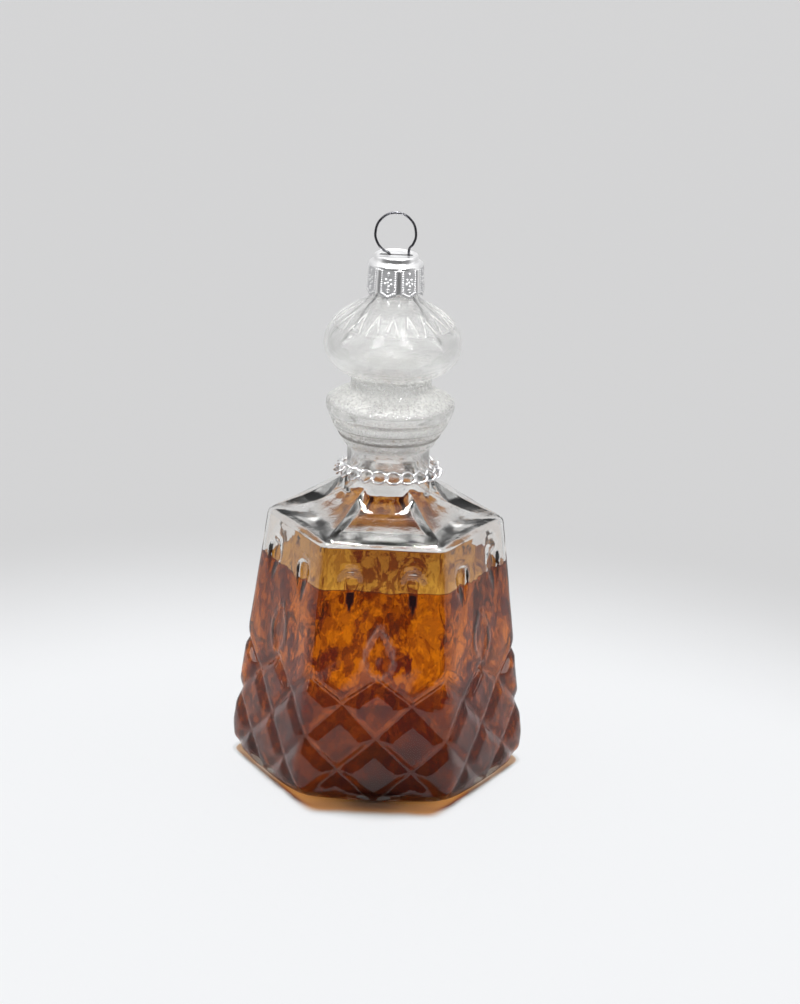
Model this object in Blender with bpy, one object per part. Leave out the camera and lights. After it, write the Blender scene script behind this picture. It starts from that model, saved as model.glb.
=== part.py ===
"""Blown-glass hanging ornament in the shape of a bourbon decanter.

Metres, +Z up. The origin lies on the glass's axis, in the plane that it stands on. The body has six
sides: one of them faces -Y, and two of its corners lie on +X and -X.
"""

import math
from collections import namedtuple

import bmesh
import bpy
from mathutils import Matrix, Vector

# Glass: heights of its stretches, from the standing plane up
BODY_HEIGHT = 0.0515
FLARE_HEIGHT = 0.0095
NECK_LENGTH = 0.0059
COLLAR_HEIGHT = 0.0116
WAIST_LENGTH = 0.0032
BULB_HEIGHT = 0.0154
PIKE_LENGTH = 0.00655

# Glass: outer radii, which are measured to the corners on the six-sided body
BASE_RADIUS = 0.0274
BELLY_RADIUS = 0.0299
BELLY_HEIGHT = 0.0058
SHOULDER_RADIUS = 0.0240
NECK_RADIUS = 0.0083
COLLAR_RADIUS = 0.01295
WAIST_RADIUS = 0.0081
BULB_RADIUS = 0.0137
PIKE_RADIUS = 0.0048

# Glass: walls and moulded relief
GLASS_WALL = 0.0009
FLOOR_WALL = 0.0012
RELIEF_DEPTH = 0.0006
FLUTE_DEPTH = 0.0026
LATTICE_HEIGHT = 0.0251
LEAF_HEIGHT = 0.0120
DIMPLE_FOOT = 0.0385
DIMPLE_HEIGHT = 0.0090

# Lacquer coat inside the glass
FILL_HEIGHT = 0.0432
COAT_THICKNESS = 0.0003
COAT_GAP = 0.0003

# Cap
CAP_SHEET = 0.00035
CAP_SEAT_GAP = 0.0003
CAP_SIDE_GAP = 0.0003
CAP_SKIRT_LENGTH = 0.0050
CAP_SKIRT_FLARE = 0.0003
CAP_POINT_LENGTH = 0.0010
CAP_SHOULDER_HEIGHT = 0.0007
CAP_DISC_RADIUS = 0.0044
CAP_DISC_HEIGHT = 0.0012
CAP_RIB_DEPTH = 0.00012
SLOT_LENGTH = 0.0066
SLOT_WIDTH = 0.0012

# Hanger: one steel wire
HANGER_WIRE = 0.0005
RING_WIDTH = 0.0084
RING_HEIGHT = 0.0087
RING_LEAN = 0.0003
WIRE_LEFT = 0.0022
WIRE_RIGHT = 0.0027
LEG_SPLAY = 0.0097
LEG_LENGTH = 0.0090
BORE_SIDE_GAP = 0.00035

# Chain round the neck
CHAIN_WIRE = 0.00045
LINK_LENGTH = 0.00385
LINK_WIDTH = 0.0028
LINK_PLAY = 0.0001
CHAIN_SEAT_GAP = 0.0003
RING_SPLIT = 0.00025
LINK_TWIST = math.radians(45)
CHAIN_LEAN = math.radians(25)
CHAIN_TILT = math.radians(5)
CHAIN_PIECES = 22
CLOSING_PIECE = 2
LINK_KNOTS = 8
WIRE_STEPS = 3

SIDES = 6
STEPS_PER_SIDE = 8
LATTICE_PERIOD = 4
CAP_PANELS = 8
STEPS_PER_PANEL = 6
CAP_TURN = math.radians(-14)
HALF_SIDE = math.pi / SIDES
FRONT = -math.pi / 2

# Heights of the rows of the lattice, as shares of LATTICE_HEIGHT
LATTICE_ROW_SHARES = (0.13, 0.26, 0.391, 0.522, 0.661, 0.80, 0.90, 1.0)
# Height, radius between neck and shoulder, squareness of the corners and depth of the flutes
FLARE_SHARES = (
    (0.10, 0.975, 1.0, 0.25),
    (0.17, 0.890, 1.0, 0.75),
    (0.27, 0.745, 1.0, 1.0),
    (0.42, 0.540, 1.0, 0.85),
    (0.61, 0.335, 1.0, 0.5),
    (0.80, 0.145, 0.7, 0.2),
)
# Height, and radius between neck and collar
COLLAR_LOW_SHARES = ((0.06, 0.18), (0.14, 0.23), (0.24, 0.41), (0.45, 0.67), (0.50, 0.73), (0.715, 1.0))
# Height, and radius between waist and collar
COLLAR_HIGH_SHARES = ((0.80, 1.0), (0.87, 0.82), (0.945, 0.41))
# Height, and radius between waist and bulb
BULB_LOW_SHARES = ((0.07, 0.42), (0.20, 0.81), (0.38, 1.0))
# Height, and radius between pike and bulb
BULB_HIGH_SHARES = ((0.55, 0.957), (0.70, 0.78), (0.85, 0.48), (0.945, 0.19))
BASE_ROUND_SHARES = (0.18,)
FLOOR_ROUND_SHARES = (0.3,)
# How far up a leaf its two middle rows lie
LEAF_ROW_SHARES = (0.3, 0.65)
DIMPLE_DEEPEST_SHARE = 0.5
COAT_ROW_SHARES = (0.3, 0.65, 1.0)
# Control points of the ring, as turns from its right side
RING_TURN_SHARES = (0.62, 0.5, 0.375, 0.25, 0.125, 0.0, 0.88)
PIKE_FOOT_SHARE = 0.12
LEG_BEND_SHARE = 0.125
SMOOTH_ANGLE = math.radians(35)

FLARE_FOOT = BODY_HEIGHT
NECK_FOOT = FLARE_FOOT + FLARE_HEIGHT
COLLAR_FOOT = NECK_FOOT + NECK_LENGTH
WAIST_FOOT = COLLAR_FOOT + COLLAR_HEIGHT
BULB_FOOT = WAIST_FOOT + WAIST_LENGTH
PIKE_FOOT = BULB_FOOT + BULB_HEIGHT
PIKE_TOP = PIKE_FOOT + PIKE_LENGTH
CHAIN_PITCH = LINK_LENGTH - 2 * CHAIN_WIRE - LINK_PLAY
CHAIN_RADIUS = CHAIN_PITCH / (2 * math.sin(math.pi / CHAIN_PIECES))
BORE_RADIUS = PIKE_RADIUS - GLASS_WALL

# A level cut through the glass. squareness is 1 for flat sides and 0 for a circle, flute is how far
# the middle of each side is drawn in, and cuts maps steps along a side to the depth of the relief.
Row = namedtuple("Row", "height radius squareness flute cuts", defaults=(1.0, 0.0, {}))


def between(low, high, share):
    return low + (high - low) * share


def body_radius(height, foot=0.0, base=BASE_RADIUS, belly=BELLY_RADIUS):
    """Radius of a six-sided body to its corners: a rounded foot, then a straight taper."""
    if height < BELLY_HEIGHT:
        climb = (height - foot) / (BELLY_HEIGHT - foot)
        return between(base, belly, math.sqrt(1 - (1 - climb) ** 2))
    taper = (height - BELLY_HEIGHT) / (BODY_HEIGHT - BELLY_HEIGHT)
    return between(belly, belly - BELLY_RADIUS + SHOULDER_RADIUS, taper)


def lattice_cuts(level):
    """The steps along a side where the crossed grooves pass this level of the lattice."""
    steps = range(STEPS_PER_SIDE)
    crossed = [n for n in steps if not (n - level) % LATTICE_PERIOD or not (n + level) % LATTICE_PERIOD]
    return dict.fromkeys(crossed, RELIEF_DEPTH)


def body_rows():
    """The outside of the body, from the edge of its flat base to its shoulder."""
    rows = [Row(0.0, BASE_RADIUS)]
    for share in BASE_ROUND_SHARES:
        rows.append(Row(BELLY_HEIGHT * share, body_radius(BELLY_HEIGHT * share)))
    for level, share in enumerate(LATTICE_ROW_SHARES, 1):
        height = LATTICE_HEIGHT * share
        rows.append(Row(height, body_radius(height), cuts=lattice_cuts(level)))
    middle = STEPS_PER_SIDE // 2
    for share in LEAF_ROW_SHARES:
        height = LATTICE_HEIGHT + LEAF_HEIGHT * share
        rows.append(Row(height, body_radius(height), cuts={middle: RELIEF_DEPTH}))
    height = LATTICE_HEIGHT + LEAF_HEIGHT
    rows.append(Row(height, body_radius(height)))
    pair = {middle // 2: RELIEF_DEPTH, middle + middle // 2: RELIEF_DEPTH}
    for share, cuts in ((0.0, {}), (DIMPLE_DEEPEST_SHARE, pair), (1.0, {})):
        height = DIMPLE_FOOT + DIMPLE_HEIGHT * share
        rows.append(Row(height, body_radius(height), cuts=cuts))
    rows.append(Row(BODY_HEIGHT, SHOULDER_RADIUS))
    return rows


def upper_rows():
    """The outside of the glass above the shoulder, up to the rim of the pike."""
    rows = []
    for height, radius, squareness, flute in FLARE_SHARES:
        rows.append(
            Row(
                FLARE_FOOT + FLARE_HEIGHT * height,
                between(NECK_RADIUS, SHOULDER_RADIUS, radius),
                squareness,
                FLUTE_DEPTH * flute,
            )
        )
    turned = [(NECK_FOOT, NECK_RADIUS), (COLLAR_FOOT, NECK_RADIUS)]
    for height, radius in COLLAR_LOW_SHARES:
        turned.append((COLLAR_FOOT + COLLAR_HEIGHT * height, between(NECK_RADIUS, COLLAR_RADIUS, radius)))
    for height, radius in COLLAR_HIGH_SHARES:
        turned.append((COLLAR_FOOT + COLLAR_HEIGHT * height, between(WAIST_RADIUS, COLLAR_RADIUS, radius)))
    turned += [(WAIST_FOOT, WAIST_RADIUS), (BULB_FOOT, WAIST_RADIUS)]
    for height, radius in BULB_LOW_SHARES:
        turned.append((BULB_FOOT + BULB_HEIGHT * height, between(WAIST_RADIUS, BULB_RADIUS, radius)))
    for height, radius in BULB_HIGH_SHARES:
        turned.append((BULB_FOOT + BULB_HEIGHT * height, between(PIKE_RADIUS, BULB_RADIUS, radius)))
    turned += [(between(PIKE_FOOT, PIKE_TOP, PIKE_FOOT_SHARE), PIKE_RADIUS), (PIKE_TOP, PIKE_RADIUS)]
    return rows + [Row(height, radius, 0.0) for height, radius in turned]


def inset_rows(rows, wall):
    """The rows moved into the glass by its wall, square to the outline that they draw."""
    inset = []
    for number, row in enumerate(rows[:-1]):
        below = rows[max(number - 1, 0)]
        above = rows[number + 1]
        along = Vector((above.radius - below.radius, above.height - below.height)).normalized()
        corner = between(1, math.cos(HALF_SIDE), row.squareness)
        radius = row.radius - wall * along.y / corner
        inset.append(Row(row.height + wall * along.x, radius, row.squareness, row.flute))
    return inset + [rows[-1]._replace(radius=rows[-1].radius - wall)]


def inner_body_rows(gap=0.0):
    """The inside of the body, or a surface that lies a gap further in, from its floor up."""
    inset = (GLASS_WALL + RELIEF_DEPTH + gap) / math.cos(HALF_SIDE)
    foot = FLOOR_WALL + gap
    heights = [between(foot, BELLY_HEIGHT, share) for share in (0.0, *FLOOR_ROUND_SHARES)]
    heights += [between(BELLY_HEIGHT, FILL_HEIGHT, share) for share in (0.0, *COAT_ROW_SHARES)]
    base, belly = BASE_RADIUS - inset, BELLY_RADIUS - inset
    return [Row(height, body_radius(height, foot, base, belly)) for height in heights]


def row_point(row, step):
    """One point of a row. Steps run round all sides, from the left end of the one that faces -Y."""
    side, along = divmod(step, STEPS_PER_SIDE)
    across = 2 * along / STEPS_PER_SIDE - 1
    apothem = row.radius * math.cos(HALF_SIDE)
    flat = Vector((apothem - row.flute * (1 - across**2), apothem * math.tan(HALF_SIDE) * across, 0.0))
    turned = Vector((math.cos(HALF_SIDE * across), math.sin(HALF_SIDE * across), 0.0)) * row.radius
    point = turned.lerp(flat, row.squareness)
    point -= point.normalized() * row.cuts.get(along, 0.0)
    point = Matrix.Rotation(FRONT + 2 * HALF_SIDE * side, 3, "Z") @ point
    point.z = row.height
    return point


def ring_edges(mesh, ring):
    return [mesh.edges.get(pair) for pair in zip(ring, ring[1:] + ring[:1])]


def grow_ring(mesh, ring, points):
    """Extrudes a ring of edges to the next ring of points."""
    made = bmesh.ops.extrude_edge_only(mesh, edges=ring_edges(mesh, ring))["geom"]
    fresh = {item for item in made if isinstance(item, bmesh.types.BMVert)}
    grown = [next(e.other_vert(v) for e in v.link_edges if e.other_vert(v) in fresh) for v in ring]
    for vertex, point in zip(grown, points):
        vertex.co = point
    return grown


def skin(mesh, outline):
    """A closed skin through rings of points, with a flat face on its first and last ring."""
    ring = bmesh.ops.create_circle(mesh, segments=len(outline[0]), radius=1)["verts"]
    for vertex, point in zip(ring, outline[0]):
        vertex.co = point
    bmesh.ops.contextual_create(mesh, geom=ring_edges(mesh, ring))
    rings = [ring]
    for points in outline[1:]:
        rings.append(grow_ring(mesh, rings[-1], points))
    bmesh.ops.contextual_create(mesh, geom=ring_edges(mesh, rings[-1]))
    return rings


def crease_cuts(mesh, cut):
    """Splits each four-sided face so that the relief's lines run along its edges."""
    for face in [f for f in mesh.faces if len(f.verts) == 4]:
        corners = list(face.verts)
        low = [n for n, vertex in enumerate(corners) if vertex in cut]
        if len(low) == 1:
            bmesh.utils.face_split(face, corners[low[0] - 1], corners[(low[0] + 1) % 4])
        elif len(low) == 2 and low[1] - low[0] == 2:
            bmesh.utils.face_split(face, corners[low[0]], corners[low[1]])


def finish_mesh(name, mesh, material):
    """An object from a closed mesh, with its faces pointing out and its edges sharp where they bend."""
    bmesh.ops.recalc_face_normals(mesh, faces=mesh.faces)
    data = bpy.data.meshes.new(name)
    mesh.to_mesh(data)
    mesh.free()
    data.shade_smooth()
    data.set_sharp_from_angle(angle=SMOOTH_ANGLE)
    data.materials.append(material)
    thing = bpy.data.objects.new(name, data)
    bpy.context.scene.collection.objects.link(thing)
    return thing


def make_material(name, colour, roughness, metallic=0.0, alpha=1.0):
    material = bpy.data.materials.new(name)
    material.use_nodes = True
    shader = material.node_tree.nodes["Principled BSDF"]
    shader.inputs["Base Color"].default_value = (*colour, 1.0)
    shader.inputs["Roughness"].default_value = roughness
    shader.inputs["Metallic"].default_value = metallic
    shader.inputs["Alpha"].default_value = alpha
    return material


def add_empty(name, place):
    empty = bpy.data.objects.new(name, None)
    empty.empty_display_size = CAP_DISC_RADIUS
    empty.location = place
    bpy.context.scene.collection.objects.link(empty)
    return empty


def hang_on(thing, parent):
    """Parents a thing that is already in place."""
    bpy.context.view_layer.update()
    thing.parent = parent
    thing.matrix_parent_inverse = parent.matrix_world.inverted()


def make_glass():
    """The one-piece hollow glass: body, flare, neck, collar, waist, bulb and pike."""
    mesh = bmesh.new()
    steps = range(SIDES * STEPS_PER_SIDE)
    outer = body_rows() + upper_rows()
    inner = inner_body_rows() + inset_rows([Row(BODY_HEIGHT, SHOULDER_RADIUS)] + upper_rows(), GLASS_WALL)
    rows = outer + inner[::-1]
    rings = skin(mesh, [[row_point(row, step) for step in steps] for row in rows])
    cut = set()
    for row, ring in zip(rows, rings):
        cut.update(ring[step] for step in steps if step % STEPS_PER_SIDE in row.cuts)
    crease_cuts(mesh, cut)
    clear = make_material("clear_glass", (0.93, 0.95, 0.95), 0.03, alpha=0.3)
    return finish_mesh("glass_shell", mesh, clear)


def make_coat():
    """The amber lacquer on the inside wall: a thin cup that ends at the line it was filled to."""
    mesh = bmesh.new()
    steps = range(0, SIDES * STEPS_PER_SIDE, STEPS_PER_SIDE // 2)
    outside = inner_body_rows(COAT_GAP)
    inside = inner_body_rows(COAT_GAP + COAT_THICKNESS)
    skin(mesh, [[row_point(row, step) for step in steps] for row in outside + inside[::-1]])
    return finish_mesh("amber_coat", mesh, make_material("amber_lacquer", (0.62, 0.24, 0.04), 0.25))


def cap_outline():
    """Radius and height of the cap's outside above its skirt, from the skirt's top to the disc."""
    skirt_radius = PIKE_RADIUS + CAP_SIDE_GAP + CAP_SHEET
    seat = PIKE_TOP + CAP_SEAT_GAP + CAP_SHEET
    step = seat + CAP_SHOULDER_HEIGHT
    top = step + CAP_DISC_HEIGHT
    return [(skirt_radius, seat), (CAP_DISC_RADIUS, step), (CAP_DISC_RADIUS, top - CAP_SHEET), (None, top)]


def cap_height():
    return cap_outline()[-1][1]


def make_cap():
    """The pressed metal cap: a scalloped skirt of eight panels, a shoulder, and a disc with a slot."""
    mesh = bmesh.new()
    count = CAP_PANELS * STEPS_PER_PANEL
    (skirt_radius, seat), (disc_radius, step), (_, edge), (_, top) = cap_outline()
    foot = seat - CAP_SKIRT_LENGTH
    foot_radius = skirt_radius + CAP_SKIRT_FLARE

    def ring(radius, height, points=0.0, ribs=0.0):
        places = []
        for number in range(count):
            across = 2 * (number % STEPS_PER_PANEL) / STEPS_PER_PANEL
            point_share = 1 - abs(1 - across)
            turn = FRONT + CAP_TURN + 2 * math.pi * (number / STEPS_PER_PANEL - 0.5) / CAP_PANELS
            reach = radius - ribs * (number % STEPS_PER_PANEL == 0)
            place = Vector((math.cos(turn) * reach, math.sin(turn) * reach, height - points * point_share))
            places.append(place)
        return places

    sheet = CAP_SHEET
    inside = [
        ring(disc_radius - sheet, edge),
        ring(disc_radius - sheet, step - sheet / 2),
        ring(skirt_radius - sheet, seat - sheet / 2),
        ring(foot_radius - sheet, foot, CAP_POINT_LENGTH),
    ]
    outside = [
        ring(foot_radius, foot, CAP_POINT_LENGTH, CAP_RIB_DEPTH),
        ring(skirt_radius, seat, 0.0, CAP_RIB_DEPTH),
        ring(disc_radius, step),
        ring(disc_radius, edge),
        ring(disc_radius - sheet / 2, top),
    ]
    skin(mesh, inside + outside)
    cap = finish_mesh("ornament_cap", mesh, make_material("bright_cap", (0.82, 0.82, 0.84), 0.25, 1.0))
    slot = cap.modifiers.new("slot", "BOOLEAN")
    slot.object = make_slot_cutter(top)
    slot.operation = "DIFFERENCE"
    slot.solver = "EXACT"
    return cap


def make_slot_cutter(top):
    """A bar with round ends that cuts the slot which both ends of the hanger pass through."""
    mesh = bmesh.new()
    points = []
    reach = (SLOT_LENGTH - SLOT_WIDTH) / 2
    for centre, first in ((reach, FRONT), (-reach, FRONT + math.pi)):
        for number in range(STEPS_PER_SIDE + 1):
            turn = first + math.pi * number / STEPS_PER_SIDE
            across = math.cos(turn) * SLOT_WIDTH / 2 + centre
            points.append(Vector((across, math.sin(turn) * SLOT_WIDTH / 2, top - 2 * CAP_SHEET)))
    skin(mesh, [points, [point + Vector((0.0, 0.0, 3 * CAP_SHEET)) for point in points]])
    cutter = finish_mesh("slot_cutter", mesh, make_material("cutter", (1.0, 1.0, 1.0), 0.5))
    cutter.hide_render = True
    cutter.display_type = "WIRE"
    return cutter


def make_tube(name, points, diameter, material, closed=False):
    """A wire bent through a run of points."""
    curve = bpy.data.curves.new(name, "CURVE")
    curve.dimensions = "3D"
    curve.bevel_depth = diameter / 2
    curve.bevel_resolution = 1
    curve.resolution_u = WIRE_STEPS
    curve.use_fill_caps = True
    spline = curve.splines.new("BEZIER")
    spline.bezier_points.add(len(points) - 1)
    for knot, point in zip(spline.bezier_points, points):
        knot.co = point
        knot.handle_left_type = "AUTO"
        knot.handle_right_type = "AUTO"
    spline.use_cyclic_u = closed
    curve.materials.append(material)
    return curve


def place_curve(name, curve, matrix):
    thing = bpy.data.objects.new(name, curve)
    thing.matrix_world = matrix
    bpy.context.scene.collection.objects.link(thing)
    return thing


def hanger_points():
    """The wire's course in the XZ plane: up one leg, through the slot, round the ring and back down."""
    top = cap_height()
    half_width = (RING_WIDTH - HANGER_WIRE) / 2
    half_height = (RING_HEIGHT - HANGER_WIRE) / 2
    centre = top + half_height
    bore = BORE_RADIUS - BORE_SIDE_GAP - HANGER_WIRE / 2
    bend = PIKE_FOOT + LEG_LENGTH * LEG_BEND_SHARE
    tip = PIKE_FOOT - LEG_LENGTH
    knee = (bore + LEG_SPLAY) / 2
    left = [(-LEG_SPLAY, tip), (-knee, (bend + tip) / 2), (-bore, bend), (-WIRE_LEFT, top - CAP_SHEET / 2)]
    right = [(WIRE_RIGHT, top - CAP_SHEET / 2), (bore, bend), (knee, (bend + tip) / 2), (LEG_SPLAY, tip)]
    ring = []
    for share in RING_TURN_SHARES:
        turn = 2 * math.pi * share
        lean = -RING_LEAN * math.sin(turn)
        ring.append((half_width * math.cos(turn) + lean, centre + half_height * math.sin(turn)))
    return [Vector((across, 0.0, height)) for across, height in left + ring + right]


def make_hanger():
    """The spring wire: a ring above the cap, and two legs that spread inside the bulb."""
    steel = make_material("spring_wire", (0.35, 0.35, 0.36), 0.25, 1.0)
    curve = make_tube("hanger_wire", hanger_points(), HANGER_WIRE, steel)
    return place_curve("hanger_wire", curve, Matrix.Identity(4))


def link_points():
    """One turn of a curb link's wire: an oval, twisted about its length."""
    half_length = (LINK_LENGTH - CHAIN_WIRE) / 2
    half_width = (LINK_WIDTH - CHAIN_WIRE) / 2
    points = []
    for number in range(LINK_KNOTS):
        turn = 2 * math.pi * number / LINK_KNOTS
        twist = LINK_TWIST * math.cos(turn)
        across = Vector((0.0, math.sin(twist), math.cos(twist))) * half_width * math.sin(turn)
        points.append(across + Vector((half_length * math.cos(turn), 0.0, 0.0)))
    return points


def closing_ring_points():
    """A round split ring, as long as a link. Its ends face each other on its upper side."""
    radius = (LINK_LENGTH - CHAIN_WIRE) / 2
    gap = (RING_SPLIT + CHAIN_WIRE) / radius
    start = math.pi / 2 + gap / 2
    points = []
    for number in range(LINK_KNOTS + 1):
        turn = start + (2 * math.pi - gap) * number / LINK_KNOTS
        points.append(Vector((radius * math.cos(turn), 0.0, radius * math.sin(turn))))
    return points


def link_frame(height, piece):
    """Where a piece of chain sits: X along the loop, Z up and leaning in towards the neck."""
    loop = Matrix.Translation((0.0, 0.0, height)) @ Matrix.Rotation(-CHAIN_TILT, 4, "X")
    spin = Matrix.Rotation(2 * math.pi * piece / CHAIN_PIECES, 4, "Z")
    lean = Matrix.Rotation(-CHAIN_LEAN, 4, "Y") @ Matrix.Rotation(math.pi / 2, 4, "Z")
    return loop @ spin @ Matrix.Translation((CHAIN_RADIUS, 0.0, 0.0)) @ lean


def ridge_height(radius):
    """Height and steepness of the flare's corner ridges at a distance from the axis."""
    ridge = [(row.radius, row.height) for row in upper_rows() if row.radius >= NECK_RADIUS]
    ridge = [(SHOULDER_RADIUS, BODY_HEIGHT)] + ridge[: len(FLARE_SHARES) + 1]
    for (outer, low), (inner, high) in zip(ridge, ridge[1:]):
        if inner <= radius <= outer:
            slope = (high - low) / (outer - inner)
            return low + slope * (outer - radius), slope
    return NECK_FOOT, 0.0


def chain_height():
    """Height of the chain's centre, with its lowest wire a seat gap above the ridges at any turn."""
    clear = CHAIN_WIRE / 2 + CHAIN_SEAT_GAP
    best = 0.0
    for piece in range(CHAIN_PIECES):
        course = closing_ring_points() if piece == CLOSING_PIECE else link_points()
        for point in course:
            place = link_frame(0.0, piece) @ point
            ridge, slope = ridge_height(math.hypot(place.x, place.y))
            best = max(best, ridge + clear * math.sqrt(1 + slope**2) - place.z)
    return best


def make_chain():
    """The chain round the neck. Its two side links carry a front run and a back run."""
    silver = make_material("silver_chain", (0.80, 0.80, 0.82), 0.2, 1.0)
    link = make_tube("curb_link", link_points(), CHAIN_WIRE, silver, closed=True)
    closing = make_tube("closing_ring", closing_ring_points(), CHAIN_WIRE, silver)
    height = chain_height()
    reach = CHAIN_PITCH / 2 * math.cos(CHAIN_TILT)
    rise = CHAIN_PITCH / 2 * math.sin(CHAIN_TILT)
    sides = add_empty("chain_turn_axis", (0.0, 0.0, height))
    front = add_empty("chain_front_axis", (0.0, -reach, height + rise))
    back = add_empty("chain_back_axis", (0.0, reach, height - rise))
    hang_on(front, sides)
    hang_on(back, sides)
    number = 0
    for piece in range(CHAIN_PIECES):
        frame = link_frame(height, piece)
        if piece == CLOSING_PIECE:
            thing = place_curve("chain_closing_ring", closing, frame)
        else:
            number += 1
            thing = place_curve(f"chain_link_{number:02d}", link, frame)
        run = sides if not piece % (CHAIN_PIECES // 2) else back
        hang_on(thing, run if piece < CHAIN_PIECES // 2 or run is sides else front)


def build():
    for thing in list(bpy.data.objects):
        bpy.data.objects.remove(thing, do_unlink=True)
    make_glass()
    make_coat()
    cap_axis = add_empty("cap_lift_axis", (0.0, 0.0, PIKE_TOP))
    hanger_axis = add_empty("hanger_rock_axis", (0.0, 0.0, cap_height() - CAP_SHEET / 2))
    hang_on(make_cap(), cap_axis)
    hang_on(hanger_axis, cap_axis)
    hang_on(make_hanger(), hanger_axis)
    make_chain()


build()
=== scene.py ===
"""Looks of a mouth-blown hanging ornament that is shaped like a stoppered spirit decanter.

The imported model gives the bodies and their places. The pieces here stand for its nodes with the
full moulded relief, the lacquer's mottling, the cap's embossing and the real wires. The tables of
shapes are in millimetres, and settings, waves and materials in metres.
"""

import math

import bmesh
import bpy
import numpy as np
from mathutils import Matrix, Vector


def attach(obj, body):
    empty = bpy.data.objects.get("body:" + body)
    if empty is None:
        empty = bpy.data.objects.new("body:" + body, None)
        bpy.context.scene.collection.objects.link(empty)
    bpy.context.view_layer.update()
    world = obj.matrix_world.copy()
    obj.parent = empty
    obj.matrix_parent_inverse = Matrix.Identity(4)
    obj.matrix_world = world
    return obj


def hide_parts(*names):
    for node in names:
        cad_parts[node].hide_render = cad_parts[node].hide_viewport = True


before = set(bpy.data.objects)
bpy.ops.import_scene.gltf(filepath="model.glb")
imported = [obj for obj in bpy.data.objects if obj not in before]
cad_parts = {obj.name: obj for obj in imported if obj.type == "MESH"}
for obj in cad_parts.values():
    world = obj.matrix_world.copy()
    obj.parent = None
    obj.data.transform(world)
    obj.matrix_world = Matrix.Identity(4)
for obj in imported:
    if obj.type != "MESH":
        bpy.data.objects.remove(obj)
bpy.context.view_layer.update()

bl_info = {
    "name": "Blown Glass Decanter Ornament",
    "version": (1, 0, 0),
    "blender": (4, 5, 0),
    "location": "3D View > Sidebar > Ornament",
    "description": "Builds a hanging glass ornament shaped like a decanter around its packed model",
    "category": "Object",
}

MM = 0.001

# How the glass is divided: columns round its sides, rows to a level of the lattice, and rows above the lattice
SIDES = 6
FACE_STEPS = 48
COLUMNS = SIDES * FACE_STEPS
LEVELS = 8
LEVEL_STEPS = 6
LEAF_ROWS = 20
UPPER_ROWS = 22

# The six-sided section: half of a side's angle, the front side's bearing, how sharp and full its corners are, and
# how flat a flute's middle is
HALF_SIDE = math.pi / SIDES
FRONT = -math.pi / 2
CORNER_SHARPNESS = 36
CORNER_FILL = 0.7
FLUTE_POWER = 2.6

# Height and radius at the corners: the underside from its middle out, the edge of the foot, and the body
UNDERSIDE = ((0.5, 0.0), (0.5, 9.0), (0.42, 17.0), (0.15, 22.5), (0.0, 25.0), (0.0, 26.3))
FOOT_EDGE = ((0.1, 27.05), (0.33, 27.75))
BODY = (
    UNDERSIDE[-1], *FOOT_EDGE, (0.7, 28.4), (1.3, 28.95), (2.2, 29.4), (3.6, 29.72), (5.8, 29.88), (8.0, 29.62),
    (12.0, 29.1), (30.0, 26.78), (44.0, 24.97), (50.3, 24.16), (51.5, 24.0),
)
# Height, radius, squareness, how far the flutes are drawn in, sharpness of the ridges, and rows up to the next line
FLARE = (
    (51.5, 24.0, 1.0, 0.0, 36, 3), (52.1, 23.82, 1.0, 0.2, 28, 3), (52.75, 23.2, 1.0, 1.0, 18, 3),
    (53.35, 22.0, 1.0, 1.9, 15, 4), (54.2, 19.9, 1.0, 2.7, 13, 6), (55.5, 16.78, 1.0, 2.7, 11, 6),
    (57.3, 13.56, 0.95, 2.0, 10, 6), (59.1, 10.58, 0.7, 0.9, 10, 3), (60.3, 9.0, 0.25, 0.15, 10, 2),
)
# Height, radius and rows up to the next line of the round neck, collar, waist, bulb and pike
TURNED = (
    (61.2, 8.3, 2), (64.0, 8.2, 2), (66.6, 8.3, 2), (67.3, 8.85, 2), (67.7, 9.2, 2), (68.6, 9.6, 2), (69.6, 10.3, 1),
    (70.0, 10.2, 1), (70.2, 10.1, 1), (70.4, 10.75, 2), (71.0, 11.15, 3), (72.4, 11.8, 1), (72.75, 11.6, 1),
    (72.95, 11.6, 1), (73.15, 12.15, 3), (74.2, 12.62, 3), (75.3, 12.9, 3), (76.1, 12.75, 3), (76.9, 11.9, 3),
    (77.8, 10.0, 3), (78.6, 8.5, 2), (79.3, 8.1, 3), (81.0, 8.05, 2), (81.7, 8.3, 3), (82.7, 10.2, 4),
    (84.6, 12.6, 5), (87.5, 13.7, 4), (90.2, 13.28, 5), (92.0, 12.1, 9), (93.6, 10.6, 9), (95.4, 8.1, 4),
    (96.3, 6.5, 3), (97.4, 5.05, 2), (98.2, 4.8, 2), (103.4, 4.8, 1), (103.65, 4.55, 1),
)
# The foot's sides bulge between its corners, below a height. The underside's first rows have no waves
FOOT_BULGE = 1.4
FOOT_BULGE_TOP = 5.5
PLAIN_ROWS = 4

# The lattice: height of every second level, width of a groove's bevels above and below it in levels, how much
# wider the inside's are, and how far the zigzag at the top takes to fade
LEVEL_HEIGHTS = (0.0, 6.53, 13.1, 20.1, 25.1)
LATTICE_TOP = LEVEL_HEIGHTS[-1]
BEVELS = (0.95, 0.6)
SOFTER_BEVEL = 0.4
ZIGZAG_FADE = 3.0
# The leaf above it with its two veins and raised rim, and the pair of dimples over that
LEAF = (25.1, 37.1)
LEAF_WIDTH = 2.85
LEAF_RIM_WIDTH = 0.55
LEAF_RIM_RISE = 0.8
# How much painted white highlight the leaf's rim gets, shown as the glass's milk
LEAF_RIM_HIGHLIGHT = 0.16
VEIN_PLACE = 0.5
VEIN_WIDTH = 0.45
DIMPLE = (38.5, 47.7)
DIMPLE_WIDTH = 2.3
DIMPLE_WIDEST = 0.66
# The petals round the bulb's top
PETALS = 18
PETAL_FOOT = 92.2
PETAL_HEIGHT = 3.2
PETAL_WIDTH = 0.35

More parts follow.
